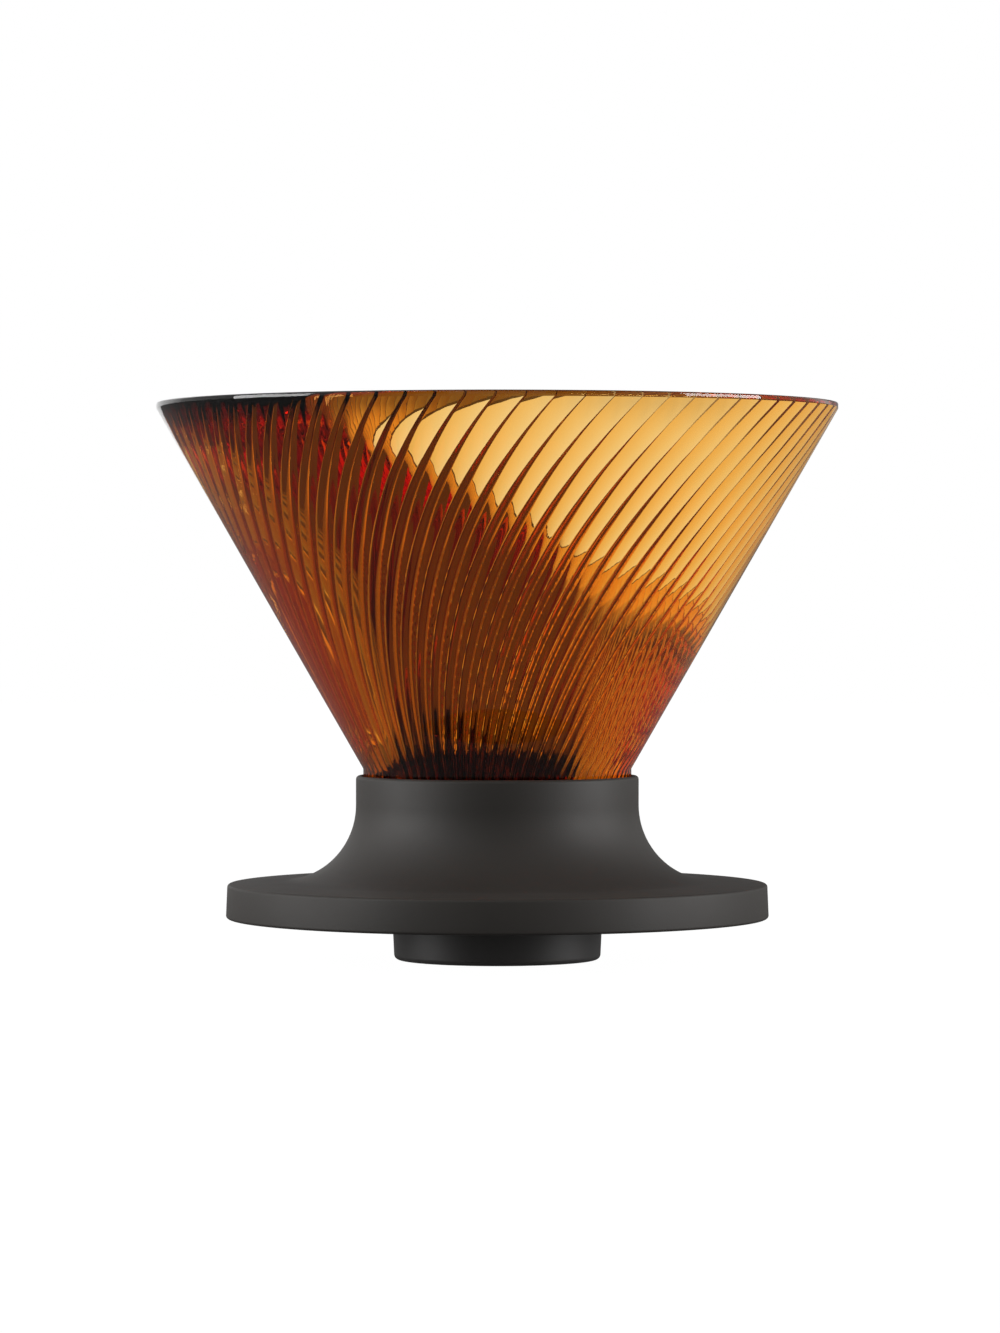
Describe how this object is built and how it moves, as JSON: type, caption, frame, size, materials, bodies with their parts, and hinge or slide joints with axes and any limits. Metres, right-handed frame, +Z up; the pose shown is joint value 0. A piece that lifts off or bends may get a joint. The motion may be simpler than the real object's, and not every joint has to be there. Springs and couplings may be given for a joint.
{
  "type": "pour over coffee dripper",
  "caption": "Conical pour over dripper: a clear amber funnel with spiral inner ribs pushes into a dark flanged base that stands on a mug, with a drip collar below.",
  "frame": {"origin": "centre of the drip collar's foot, the lowest point of the assembly, on the axis that every piece is turned about", "axes": "+Z up along the axis, from the drip collar to the rim; the object is round, so X and Y are free and X is taken to the right of the view and -Y towards the viewer"},
  "size_m": [0.116, 0.116, 0.0947],
  "materials": {
    "amber_resin": "clear amber, polished",
    "charcoal_plastic": "fine matte, warm charcoal",
    "black_plastic": "satin black",
    "seal_rubber": "soft matte"
  },
  "bodies": {
    "base": {"base_flange": "charcoal_plastic"},
    "collar": {"drip_collar": "black_plastic"},
    "seal": {"spout_seal": "seal_rubber"},
    "funnel": {"cone": "amber_resin"}
  },
  "joints": [
    {"name": "cone_lift", "type": "slide", "parent": "base", "child": "seal", "axis": [0, 0, 1], "range_m": [0, 0.04]},
    {"name": "cone_turn", "type": "hinge", "parent": "seal", "child": "funnel", "pos_m": [0, 0, 0.02], "axis": [0, 0, 1], "continuous": true},
    {"name": "collar_pull", "type": "slide", "parent": "base", "child": "collar", "axis": [0, 0, -1], "range_m": [0, 0.025]}
  ]
}
